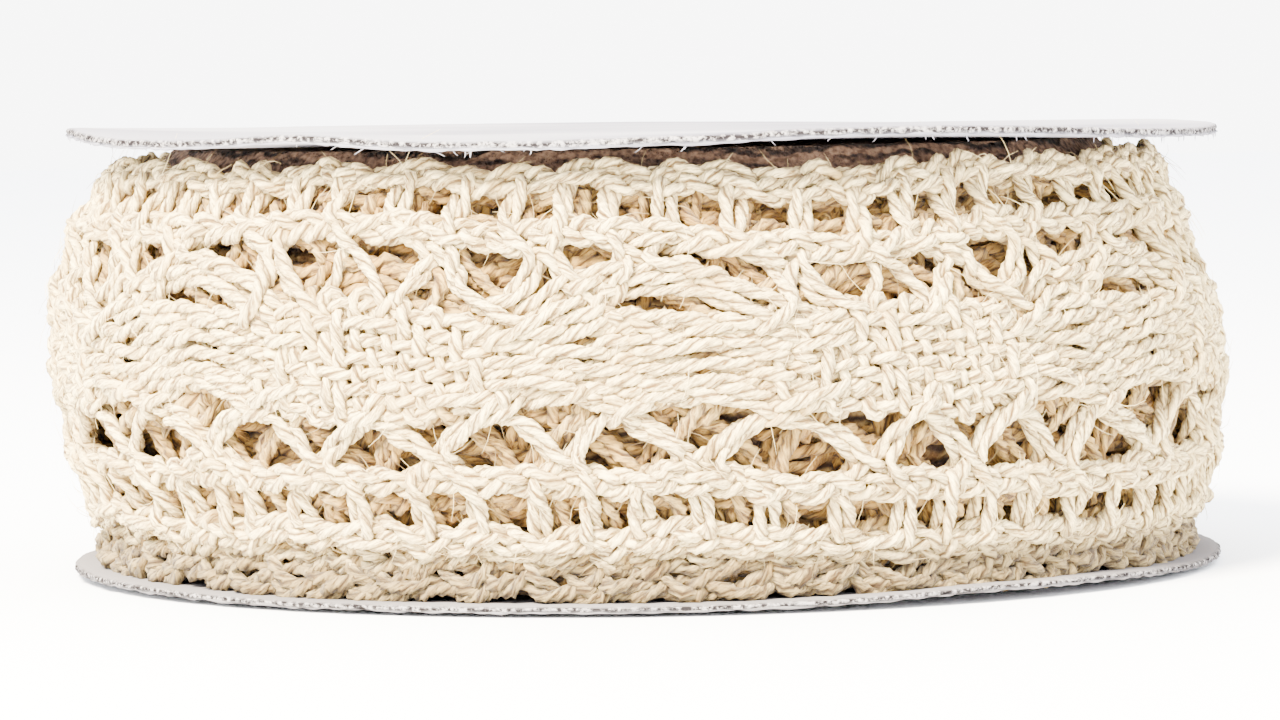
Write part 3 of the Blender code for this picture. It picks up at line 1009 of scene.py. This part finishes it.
def add_disc(disc, material):
    """A card disc, a little warped, with a ragged cut edge."""
    outer_radius, rim_start, rim_width, raggedness = 38, 33, 4, 0.06
    rng = np.random.default_rng(disc.seed)
    angles = np.arange(DISC_COLUMNS) / DISC_COLUMNS * TAU
    warp = np.interp(from_front(np.degrees(angles) + 90), *zip(*disc.warp))
    warp = blur_round(warp, np.hanning(13))
    verts, greys = [], []
    for point in CARD_SECTION:
        jitter = rng.normal(0, 1, (2, DISC_COLUMNS))
        sideways, upward = [blur_round(row, np.array([0.25, 0.5, 0.25])) for row in jitter]
        radii = point.radius + raggedness * point.ragged * sideways
        reach = (point.radius / outer_radius) ** 3
        near_rim = np.clip((point.radius - rim_start) / rim_width, 0, 1)
        rise = point.rise * (1 + (disc.rim_scale - 1) * near_rim) + disc.rim_lift * near_rim
        levels = disc.height + rise + warp * reach + raggedness * point.ragged * upward
        verts.append(np.stack([radii * np.cos(angles), radii * np.sin(angles), levels], axis=-1))
        greys.append(np.full(DISC_COLUMNS, point.grey, float))
    lip = verts[LIP_ROW] * MM
    quads = ring_quads(len(CARD_SECTION), DISC_COLUMNS)[2].reshape(-1, 4)[:, [0, 3, 2, 1]]
    piece = add_mesh(disc.node + "_card", np.vstack(verts) * MM, quads, np.zeros((len(quads), 4, 2)),
                     np.concatenate(greys), material)
    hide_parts(disc.node)
    add_burrs(disc, lip, rng, material)


def add_burrs(disc, lip, rng, material):
    """Torn white fibres of the board on the lower lip of a disc's edge."""
    burrs, root = 90, 0.05 * MM
    taper = np.array([1, 0.9, 0.7, 0.25])
    t = np.linspace(0, 1, len(taper))[:, None]
    bundle = Bundle()
    for _ in range(burrs):
        start = lip[rng.integers(DISC_COLUMNS)]
        outward = start * [1, 1, 0] / np.linalg.norm(start[:2])
        side = np.array([-outward[1], outward[0], 0.0])
        reach = rng.uniform(0.10, 0.42) * MM
        slant = rng.normal(0, 0.9)
        bend = rng.normal(0, 0.6)
        rise = np.array([0, 0, disc.burr_rise])
        path = start - outward * root + reach * (rise * t + side * (slant * t + bend * t * t))
        widths = rng.uniform(0.035, 0.09) * MM * taper
        bundle.add_hair(path, widths, side[None], outward[None], flat=0.5)
    piece = bundle.build(disc.node + "_burrs", material, "card")
    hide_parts(disc.node)


def add_camera():
    """The photograph's view: a long lens a little above the spool, tilted down and rolled a little."""
    focal_px, width_px, height_px = 5721.0, 1280, 720
    horizon_px, middle_px = 59.0, 645.0
    distance, eye_height, roll = 0.380, 0.0334, math.radians(0.85)
    camera = bpy.data.cameras.new("camera")
    camera.sensor_width = 36.0
    camera.lens = focal_px / width_px * camera.sensor_width
    camera.clip_start, camera.clip_end = 0.01, 10
    pitch = math.atan((height_px / 2 - horizon_px) / focal_px)
    yaw = math.atan((middle_px - width_px / 2) / focal_px)
    holder = bpy.data.objects.new("camera", camera)
    bpy.context.scene.collection.objects.link(holder)
    holder.location = (0, -distance, eye_height)
    turn = Matrix.Rotation(yaw, 4, "Z") @ Matrix.Rotation(math.pi / 2 - pitch, 4, "X")
    holder.rotation_euler = (turn @ Matrix.Rotation(-roll, 4, "Z")).to_euler()
    bpy.context.scene.camera = holder


def add_light(name, place, size, power, colour=(1, 1, 1)):
    data = bpy.data.lights.new(name, "AREA")
    data.shape = "DISK"
    data.size = size
    data.energy = power
    data.color = colour
    light = bpy.data.objects.new(name, data)
    light.location = place
    aim = Vector((0, 0, 0.014)) - Vector(place)
    light.rotation_euler = aim.to_track_quat("-Z", "Y").to_euler()
    bpy.context.scene.collection.objects.link(light)


def add_studio():
    """A plain pale floor and plain soft white light."""
    bpy.ops.mesh.primitive_plane_add(size=3.0, location=(0, 0, -0.0001))
    floor = bpy.context.object
    floor.name = "floor"
    paper = Nodes("floor")
    where = paper.add("TexCoord").outputs["Object"]
    tone = paper.mix(paper.noise(where, 14.0), (0.90, 0.93, 0.99, 1), (0.92, 0.95, 1.0, 1))
    floor.data.materials.append(paper.finish(tone, 0.9))
    world = bpy.data.worlds.new("studio")
    bpy.context.scene.world = world
    world.use_nodes = True
    world.node_tree.nodes["Background"].inputs["Color"].default_value = (1, 1, 1, 1)
    world.node_tree.nodes["Background"].inputs["Strength"].default_value = 8.0
    add_light("key", (-0.25, -0.45, 0.50), 0.25, 70.0, (1.0, 0.88, 0.68))


add_camera()
add_studio()
cotton = cotton_material()
repeat = lace_repeat()
yarn_places = add_turn(repeat, OUTER_TURN, cotton)
for turn in INNER_TURNS:
    add_turn(repeat, turn, cotton)
add_fibres(yarn_places, cotton)
add_inner_winding(winding_material())
# Both discs are one card: their grey-lavender faces are painted reflection, and the lower card is painted
# darker than the upper as painted shade.
top_card = card_material("card_top", (0.31, 0.305, 0.335, 1), (0.175, 0.17, 0.205, 1), (0.32, 0.30, 0.30, 1))
bottom_card = card_material("card_bottom", (0.19, 0.18, 0.185, 1), (0.135, 0.126, 0.13, 1),
                            (0.32, 0.30, 0.30, 1))
add_disc(BOTTOM_DISC, bottom_card)
add_disc(TOP_DISC, top_card)
